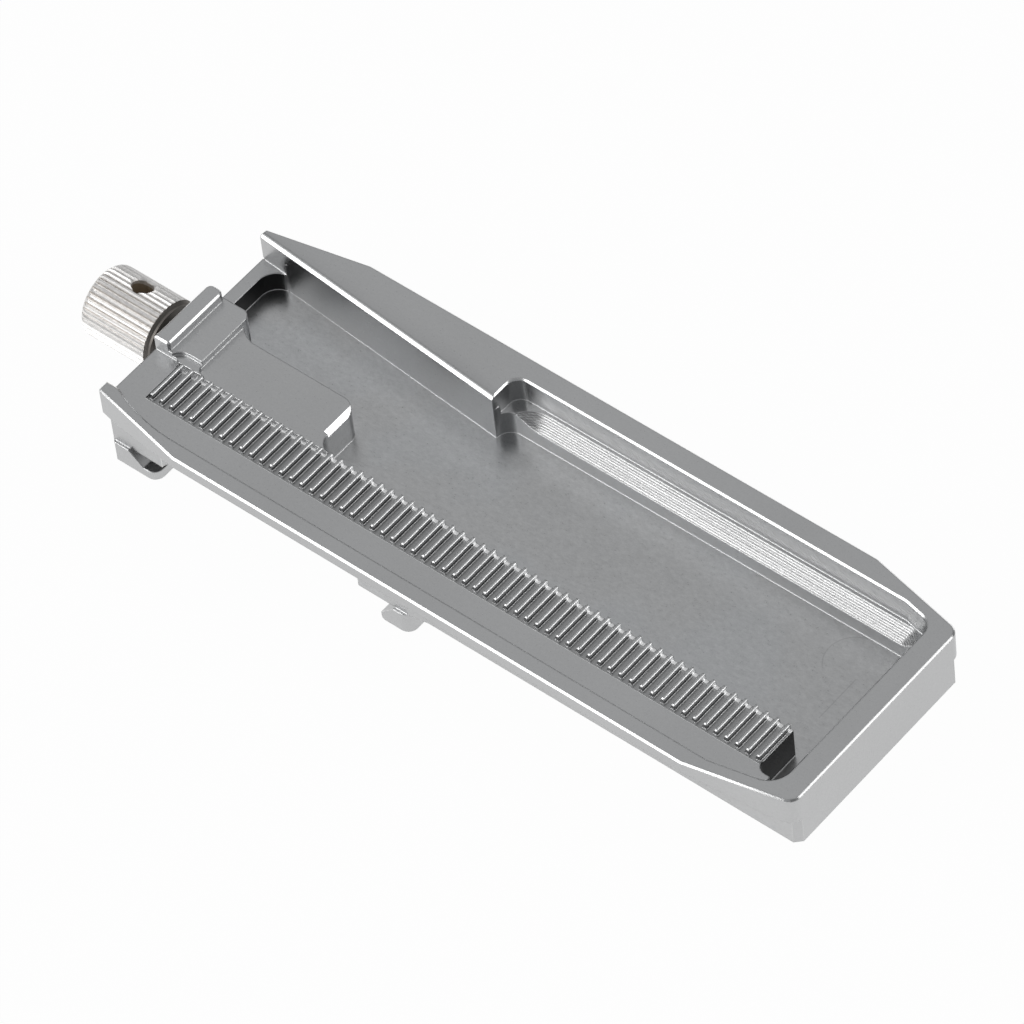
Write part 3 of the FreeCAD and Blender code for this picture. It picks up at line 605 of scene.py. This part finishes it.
        shift = (
            mottle.swing(self.mottle_swing + self.pocket_swing * deep)
            + cloud.swing(self.cloud_swing)
            + grain.swing(self.grain_swing)
        )
        cool = deep * cloud.ramp(*self.cool_clouds)
        colour = bench.lighten(bench.blend(cool, self.body_colour, self.cool_colour), shift)
        layers = (
            (deep * self.marks.mask(spot) * self.mark_cover, self.mark_colour),
            # Painted shade low in the rack's gaps
            (root_shade * self.root_shade_cover, self.root_shade_colour),
            # Painted shadow at the foot of each flank
            (flank_shadow, self.flank_shadow_colour),
            # Chamfers: bare cut metal, partly painted highlight
            (breaks, self.cut_metal_and_highlight_colour),
            (milled, bench.blend(streak.ramp(*self.cut_streaks), *self.cut_colours)),
            # Painted light on the gaps' open ends
            (open_end_highlight, self.cut_metal_and_highlight_colour),
            # Painted highlight along the near lip of the rack bed
            (near_lip_highlight, self.cut_metal_and_highlight_colour),
            # Painted highlight along edges and feet, kept off the milled slope
            (self.foot(bench, spot) * (1 - milled) * self.foot_highlight_cover, self.cut_metal_and_highlight_colour),
            # Painted shade that dims the chamfers at the plain end
            (breaks * plain_end, self.plain_rim_shade_colour),
            # Painted shade on the pocket's end walls
            (self.end_wall_shade(spot), self.end_wall_shade_colour),
        )
        for amount, paint in layers:
            colour = bench.blend(amount, colour, paint)

        fresh = (breaks + milled) > HALF
        satin = self.roughness + mottle.swing(self.mottle_rough) + grain.swing(self.grain_rough)
        cut = self.edge_roughness + streak.swing(self.streak_rough)
        relief = grain * (1 - fresh) + streak * fresh * self.streak_relief
        uneven = bench.bump(relief, self.relief_strength, self.relief_depth * MM)
        return bench.surface({
            "Base Color": colour,
            "Roughness": satin * (1 - fresh) + cut * fresh,
            "Metallic": 1.0,
            "Normal": bench.rounded(self.edge_radius * MM, uneven),
        })


@dataclass(frozen=True)
class TurnedSteel:
    """Bright turned steel with a warm cast, brown-grey and darker down in the knurling, painted shadow
    on the end band and painted shade in the cross hole.
    """

    crest_colour: Colour = grey(0.97, 0.018)
    speck_colour: Colour = grey(0.8342, 0.018)
    groove_colours: tuple[Colour, Colour] = (grey(0.62, 0.06), grey(0.806, 0.05))
    # Painted shadow on the end band between the knob and the plate
    band_shadow_colour: Colour = grey(0.22, 0.08)
    # Painted shade down in the cross hole
    bore_shade_colour: Colour = (0.5, 0.42, 0.32)
    metallic: float = 0.75
    roughness: float = 0.34
    scratch_rough: float = 0.16
    groove_rough: float = 0.08
    scratch: Grain = Grain(4200.0, 4.0, 0.7, (0.25, 1.0, 1.0))
    speck: Grain = Grain(1500.0, 3.0, 0.6)
    speck_span: Span = (0.4, 0.75)
    relief_strength: float = 0.3
    relief_depth: float = 0.008
    # Radius of the knurling's crests, and depths below them
    crest: float = 4.63
    crest_blend_depth: float = 0.216
    groove_depth: float = 0.36
    bore_depth: float = 0.72
    bore_radius: float = 1.4
    bore_station: float = -57.9
    band_start: float = -53.15

    def make(self) -> bpy.types.Material:
        """Builds the material.

        Returns:
            The finished material.
        """
        bench = Bench(bpy.data.materials.new("turned_steel"))
        spot = Spot(bench)
        across = spot.y - SCREW_Y * MM
        up = spot.z - SCREW_Z * MM
        radius = (across * across + up * up).root()
        groove = (self.crest - self.groove_depth) * MM
        # Colour runs from darker at the bottom of the knurling's grooves to brighter at the crests
        toward_crest = radius.ramp(groove, (self.crest - self.crest_blend_depth) * MM)
        inside = radius < (self.crest - self.bore_depth) * MM
        # Painted shade down in the cross hole
        bore_shade = inside * (abs(spot.x - self.bore_station * MM) < self.bore_radius * MM)
        scratch = bench.noise(self.scratch, spot.place)
        speck = bench.noise(self.speck, spot.place).ramp(*self.speck_span)
        speckled_crest = bench.blend(speck, self.crest_colour, self.speck_colour)
        colour = bench.blend(scratch, *self.groove_colours)
        layers = (
            (toward_crest * (spot.x < self.band_start * MM), speckled_crest),
            # Painted shadow on the end band between the knob and the plate
            (spot.x > self.band_start * MM, self.band_shadow_colour),
            # Painted shade down in the cross hole
            (bore_shade, self.bore_shade_colour),
        )
        for amount, paint in layers:
            colour = bench.blend(amount, colour, paint)
        return bench.surface({
            "Base Color": colour,
            "Roughness": self.roughness + scratch * self.scratch_rough + (1 - toward_crest) * self.groove_rough,
            "Metallic": self.metallic,
            "Normal": bench.bump(scratch, self.relief_strength, self.relief_depth * MM),
        })


@dataclass(frozen=True)
class SpringSteel:
    """Dark spring steel of the retaining ring."""

    colours: tuple[Colour, Colour] = (grey(0.22), grey(0.308))
    fine: Grain = Grain(4000.0, 3.0, 0.6)
    roughness: float = 0.3
    fine_rough: float = 0.2
    relief_strength: float = 0.2
    relief_depth: float = 0.005

    def make(self) -> bpy.types.Material:
        """Builds the material.

        Returns:
            The finished material.
        """
        bench = Bench(bpy.data.materials.new("spring_steel"))
        fine = bench.noise(self.fine, bench.place())
        return bench.surface({
            "Base Color": bench.blend(fine, *self.colours),
            "Roughness": self.roughness + fine * self.fine_rough,
            "Metallic": 1.0,
            "Normal": bench.bump(fine, self.relief_strength, self.relief_depth * MM),
        })


class Shop:
    """Hand tools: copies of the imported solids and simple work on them."""

    @staticmethod
    def alone(piece: bpy.types.Object) -> None:
        """Makes one object the only selected one, and the active one.

        Args:
            piece: The object.
        """
        bpy.ops.object.select_all(action="DESELECT")
        piece.select_set(True)
        bpy.context.view_layer.objects.active = piece

    @staticmethod
    def smooth(piece: bpy.types.Object, angle: float) -> None:
        """Shades a piece smooth, with its sharper edges kept.

        Args:
            piece: The piece.
            angle: Edges sharper than this stay sharp, in degrees.
        """
        Shop.alone(piece)
        bpy.ops.object.shade_smooth_by_angle(angle=math.radians(angle))

    @staticmethod
    def smooth_copy(node: bpy.types.Object, name: str, angle: float) -> bpy.types.Object:
        """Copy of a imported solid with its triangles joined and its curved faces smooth.

        Args:
            node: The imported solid.
            name: The copy's name.
            angle: Edges sharper than this stay sharp, in degrees.

        Returns:
            The copy.
        """
        mesh = node.data.copy()
        mesh.name = name
        piece = bpy.data.objects.new(name, mesh)
        bpy.context.scene.collection.objects.link(piece)
        Shop.alone(piece)
        bpy.ops.mesh.customdata_custom_splitnormals_clear()
        bpy.ops.object.mode_set(mode="EDIT")
        bpy.ops.mesh.select_all(action="SELECT")
        bpy.ops.mesh.remove_doubles(threshold=WELD)
        bpy.ops.object.mode_set(mode="OBJECT")
        Shop.smooth(piece, angle)
        return piece

    @staticmethod
    def pick(piece: bpy.types.Object, rule: Callable[[Vector], bool]) -> None:
        """Opens a piece for editing with only the chosen vertices selected.

        Args:
            piece: The piece.
            rule: Says for a vertex's place, in metres, whether it is chosen.
        """
        Shop.alone(piece)
        bpy.ops.object.mode_set(mode="EDIT")
        bpy.ops.mesh.select_mode(type="VERT")
        bpy.ops.mesh.select_all(action="DESELECT")
        bpy.ops.object.mode_set(mode="OBJECT")
        for vertex in piece.data.vertices:
            vertex.select = rule(vertex.co)
        bpy.ops.object.mode_set(mode="EDIT")

    @staticmethod
    def block(low: Place, high: Place) -> bpy.types.Object:
        """Plain block between two corners.

        Args:
            low: The lower corner.
            high: The upper corner.

        Returns:
            The block.
        """
        middle = [(a + b) / 2 * MM for a, b in zip(low, high)]
        bpy.ops.object.select_all(action="DESELECT")
        bpy.ops.mesh.primitive_cube_add(size=1.0, location=middle)
        made = bpy.context.active_object
        made.scale = [(b - a) * MM for a, b in zip(low, high)]
        bpy.ops.object.transform_apply(location=True, rotation=True, scale=True)
        return made

    @staticmethod
    def combine(piece: bpy.types.Object, tool: bpy.types.Object, operation: str) -> None:
        """Joins a second shape to a piece or cuts it away, and drops the second shape.

        Args:
            piece: The piece that stays.
            tool: The second shape.
            operation: UNION or DIFFERENCE.
        """
        Shop.alone(piece)
        step = piece.modifiers.new("combine", "BOOLEAN")
        step.operation = operation
        step.solver = "EXACT"
        step.object = tool
        bpy.ops.object.modifier_apply(modifier=step.name)
        bpy.data.objects.remove(tool, do_unlink=True)

    @staticmethod
    def dress(piece: bpy.types.Object, finish: bpy.types.Material, slot: Slot, body: Body) -> None:
        """Gives a piece its material and the body that it moves with.

        Args:
            piece: The piece.
            finish: Its only material.
            slot: The record's slot for the finish. Not used.
            body: The body it rides on.
        """
        piece.data.materials.clear()
        piece.data.materials.append(finish)
        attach(piece, body.value)
        LOG.info("%s: %d faces", piece.name, len(piece.data.polygons))


@dataclass
class Solid:
    """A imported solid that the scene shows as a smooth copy."""

    node: Node
    slot: Slot
    body: Body
    smooth_angle: float = 30.0

    def shape(self, piece: bpy.types.Object) -> None:
        """Finishes the copy's shape. A plain solid needs nothing more."""

    def build(self, frame: dict, finish: bpy.types.Material) -> None:
        """Makes the copy, finishes its shape and dresses it.

        Args:
            frame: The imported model.
            finish: The copy's material.
        """
        node = self.node.value
        piece = Shop.smooth_copy(frame["nodes"][node], f"{node}_finished", self.smooth_angle)
        self.shape(piece)
        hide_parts(node)
        Shop.dress(piece, finish, self.slot, self.body)


@dataclass
class Jaw(Solid):
    """The sliding jaw in the knob end bar."""

    node: Node = Node.JAW
    slot: Slot = Slot.ALUMINIUM
    body: Body = Body.JAW


@dataclass
class Ring(Solid):
    """The retaining ring on the screw's pin."""

    node: Node = Node.RING
    slot: Slot = Slot.RING
    body: Body = Body.SCREW


@dataclass
class Plate(Solid):
    """The machined plate, with the step filled out and the teeth sharp to their far ends."""

    node: Node = Node.PLATE
    slot: Slot = Slot.ALUMINIUM
    body: Body = Body.PLATE
    # Tops of the teeth's far facets, and the place across that they are carried to
    teeth_start: float = -46.5
    facet_span: Span = (-5.9, -5.41)
    crest_span: Span = (6.05, 6.17)
    teeth_far: float = -5.36
    # Filling of the step, just inside its top and end faces, and its round hollow
    step_low: Place = (-48.6, -5.04, 5.6)
    step_high: Place = (-44.304, -1.0, 6.646)
    hollow: Span = (-46.17, -6.10)
    hollow_radius: float = 2.06
    hollow_depth: float = 4.0
    hollow_sides: int = 96
    # Block that trims the filling between the hollow and the step's end face
    trim_low: Place = (-46.17, -6.04, 0.0)
    trim_high: Place = (-43.304, -4.02, 9.0)

    def on_facet(self, place: Vector) -> bool:
        """Whether a vertex lies at the top of a tooth's far facet, and not on the bridge.

        Args:
            place: The vertex's place, in metres.

        Returns:
            Whether the vertex is one of those.
        """
        along, across, up = (value / MM for value in place)
        beside = self.facet_span[0] < across < self.facet_span[1]
        above = self.crest_span[0] < up < self.crest_span[1]
        return along > self.teeth_start and beside and above

    def sharpen_teeth(self, piece: bpy.types.Object) -> None:
        """Carries each crest to the far end of its tooth.

        Args:
            piece: The copy of the plate.
        """
        Shop.pick(piece, self.on_facet)
        far = (0.0, self.teeth_far * MM, 0.0)
        bpy.ops.transform.resize(value=(1.0, 0.0, 1.0), center_override=far)
        bpy.ops.object.mode_set(mode="OBJECT")

    def fill_step(self, piece: bpy.types.Object) -> None:
        """Fills the step out to its hollow near side.

        Args:
            piece: The copy of the plate.
        """
        fill = Shop.block(self.step_low, self.step_high)
        bpy.ops.object.select_all(action="DESELECT")
        bpy.ops.mesh.primitive_cylinder_add(
            vertices=self.hollow_sides, radius=self.hollow_radius * MM, depth=self.hollow_depth * MM,
            location=(self.hollow[0] * MM, self.hollow[1] * MM, self.step_low[2] * MM),
        )
        Shop.combine(fill, bpy.context.active_object, "DIFFERENCE")
        Shop.combine(fill, Shop.block(self.trim_low, self.trim_high), "DIFFERENCE")
        Shop.combine(piece, fill, "UNION")

    def shape(self, piece: bpy.types.Object) -> None:
        """Finishes the teeth and the step.

        Args:
            piece: The copy of the plate.
        """
        self.sharpen_teeth(piece)
        self.fill_step(piece)
        Shop.smooth(piece, self.smooth_angle)


@dataclass
class ThumbScrew(Solid):
    """The knurled screw, with the ridge of its thread on a narrower shank."""

    node: Node = Node.SCREW
    slot: Slot = Slot.STEEL
    body: Body = Body.SCREW
    shank_radius: float = 2.0
    shank_margin: float = 0.02
    root_radius: float = 1.72
    thread_start: float = -52.55
    thread_pitch: float = 0.5
    thread_turns: int = 8
    steps: int = 32

    def on_shank(self, place: Vector) -> bool:
        """Whether a vertex lies on the shank.

        Args:
            place: The vertex's place, in metres.

        Returns:
            Whether the vertex lies at the shank's radius.
        """
        away = math.hypot(place.y - SCREW_Y * MM, place.z - SCREW_Z * MM)
        return abs(away - self.shank_radius * MM) < self.shank_margin * MM

    def shape(self, piece: bpy.types.Object) -> None:
        """Draws the shank in to the bottom of its thread.

        Args:
            piece: The copy of the screw.
        """
        Shop.pick(piece, self.on_shank)
        share = self.root_radius / self.shank_radius
        centre = (0.0, SCREW_Y * MM, SCREW_Z * MM)
        bpy.ops.transform.resize(value=(1.0, share, share), center_override=centre)
        bpy.ops.object.mode_set(mode="OBJECT")

    def thread(self) -> bpy.types.Object:
        """Ridge of the thread: a triangle carried round the shank.

        Returns:
            The ridge, with its ends closed.
        """
        corner = 2 * (self.shank_radius - self.root_radius) / 3
        bpy.ops.object.select_all(action="DESELECT")
        bpy.ops.mesh.primitive_circle_add(
            vertices=3, radius=corner * MM, fill_type="NOTHING",
            location=(self.thread_start * MM, 0.0, (self.shank_radius - corner) * MM),
            rotation=(math.pi / 2, 0, 0),
        )
        ridge = bpy.context.active_object
        ridge.name = "thumb_screw_thread"
        ridge.data.name = ridge.name
        bpy.ops.object.transform_apply(location=True, rotation=True, scale=True)
        screw = ridge.modifiers.new("thread", "SCREW")
        screw.axis = "X"
        screw.angle = 2 * math.pi
        screw.screw_offset = self.thread_pitch * MM
        screw.iterations = self.thread_turns
        screw.steps = self.steps
        screw.render_steps = self.steps
        bpy.ops.object.modifier_apply(modifier=screw.name)
        ridge.location = (0.0, SCREW_Y * MM, SCREW_Z * MM)
        bpy.ops.object.transform_apply(location=True, rotation=True, scale=True)
        bpy.ops.object.mode_set(mode="EDIT")
        bpy.ops.mesh.select_all(action="SELECT")
        bpy.ops.mesh.fill_holes(sides=3)
        bpy.ops.mesh.select_all(action="SELECT")
        bpy.ops.mesh.normals_make_consistent(inside=False)
        bpy.ops.object.mode_set(mode="OBJECT")
        Shop.smooth(ridge, self.smooth_angle)
        return ridge

    def build(self, frame: dict, finish: bpy.types.Material) -> None:
        """Makes the screw with its thread and dresses both.

        Args:
            frame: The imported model.
            finish: The turned steel's material.
        """
        super().build(frame, finish)
        Shop.dress(self.thread(), finish, self.slot, self.body)


@dataclass(frozen=True)
class Lamp:
    """Square soft light aimed at the object, in metres and watts."""

    name: str
    toward: Place
    distance: float
    size: float
    power: float

    def hang(self) -> None:
        """Adds the light to the scene."""
        data = bpy.data.lights.new(self.name, "AREA")
        data.shape = "SQUARE"
        data.size = self.size
        data.energy = self.power
        light = bpy.data.objects.new(self.name, data)
        bpy.context.scene.collection.objects.link(light)
        direction = Vector(self.toward).normalized()
        light.location = direction * self.distance
        light.rotation_euler = direction.to_track_quat("Z", "Y").to_euler()


@dataclass
class Studio:
    """Pale floor, soft lights and the camera, in metres and degrees."""

    floor_level: float = -3.04 * MM
    floor_size: float = 3.0
    floor_colours: tuple[Colour, Colour] = (grey(0.80), grey(0.82))
    floor_grain: Grain = Grain(40.0, 2.0, 0.5)
    floor_roughness: float = 0.9
    # Share of white glow that the camera and the reflections see in the floor
    glow_seen: float = 0.975
    glow_mirrored: float = 0.85
    sky_colour: Colour = grey(0.22, -0.02)
    lamps: tuple[Lamp, ...] = (
        Lamp("near_strip", (-0.45, -0.77, 0.45), 0.9, 0.6, 3.0),
        Lamp("right_strip", (0.77, 0.45, 0.45), 0.9, 0.35, 0.95),
        Lamp("far_panel", (-0.45, 0.45, 0.77), 1.1, 1.0, 1.15),
        Lamp("near_panel", (-0.45, -0.45, 0.77), 1.1, 0.6, 0.4),
        Lamp("right_panel", (0.45, 0.45, 0.77), 1.1, 0.6, 0.75),
    )
    eye: Place = (0.4260152, -0.4287942, 0.7441292)
    azimuth: float = 44.9194
    elevation: float = 50.6311
    roll: float = -7.1302
    lens: float = 298.4915
    sensor: float = 36.0
    clip_start: float = 0.01

    def floor(self) -> None:
        """Plain pale floor that shows white around the object and keeps its shadow."""
        bpy.ops.object.select_all(action="DESELECT")
        bpy.ops.mesh.primitive_plane_add(size=self.floor_size, location=(0, 0, self.floor_level))
        floor = bpy.context.active_object
        floor.name = "studio_floor"
        bench = Bench(bpy.data.materials.new("pale_floor"))
        colour = bench.blend(bench.noise(self.floor_grain, bench.place()), *self.floor_colours)
        inputs = {"Base Color": colour, "Roughness": self.floor_roughness}
        shader = bench.node("ShaderNodeBsdfPrincipled", {}, inputs)
        glow = bench.node("ShaderNodeEmission", {}, {"Color": WHITE, "Strength": 1.0})
        seen = bench.node("ShaderNodeLightPath", {}, {}, "Is Camera Ray")
        mirrored = bench.node("ShaderNodeLightPath", {}, {}, "Is Glossy Ray")
        share = seen * self.glow_seen + mirrored * self.glow_mirrored
        mixed = bench.node("ShaderNodeMixShader", {}, {0: share, 1: shader, 2: glow})
        floor.data.materials.append(bench.end(mixed))

    def sky(self) -> None:
        """Soft grey surroundings that show white to the camera."""
        bench = Bench(bpy.data.worlds.new("studio_sky"))
        seen = bench.node("ShaderNodeLightPath", {}, {}, "Is Camera Ray")
        soft = bench.node("ShaderNodeBackground", {}, {"Color": (*self.sky_colour, 1.0)})
        white = bench.node("ShaderNodeBackground", {}, {"Color": WHITE})
        mixed = bench.node("ShaderNodeMixShader", {}, {0: seen, 1: soft, 2: white})
        bpy.context.scene.world = bench.end(mixed, "ShaderNodeOutputWorld")

    def camera(self) -> None:
        """Camera at the photograph's viewing angle."""
        turn, rise, roll = (math.radians(v) for v in (self.azimuth, self.elevation, self.roll))
        level = Vector((math.cos(turn), math.sin(turn), 0))
        back = Vector((
            math.sin(turn) * math.cos(rise), -math.cos(turn) * math.cos(rise), math.sin(rise),
        ))
        right = level * math.cos(roll) + back.cross(level) * math.sin(roll)
        data = bpy.data.cameras.new("photo_camera")
        data.lens = self.lens
        data.sensor_width = self.sensor
        data.clip_start = self.clip_start
        camera = bpy.data.objects.new("photo_camera", data)
        bpy.context.scene.collection.objects.link(camera)
        turned = Matrix((right, back.cross(right), back)).transposed().to_4x4()
        camera.matrix_world = Matrix.Translation(Vector(self.eye)) @ turned
        bpy.context.scene.camera = camera

    def build(self) -> None:
        """Sets up the whole studio."""
        bpy.context.scene.view_settings.view_transform = "Standard"
        self.floor()
        self.sky()
        for lamp in self.lamps:
            lamp.hang()
        self.camera()
        LOG.info("studio: %d lamps", len(self.lamps))


def main() -> None:
    """Builds the scene in order."""
    logging.basicConfig(level=logging.INFO, format="%(message)s")
    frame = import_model()
    aluminium = BlastedAluminium().make()
    steel = TurnedSteel().make()
    Plate().build(frame, aluminium)
    Jaw().build(frame, aluminium)
    ThumbScrew().build(frame, steel)
    Ring().build(frame, SpringSteel().make())
    Studio().build()


if __name__ == "__main__":
    main()
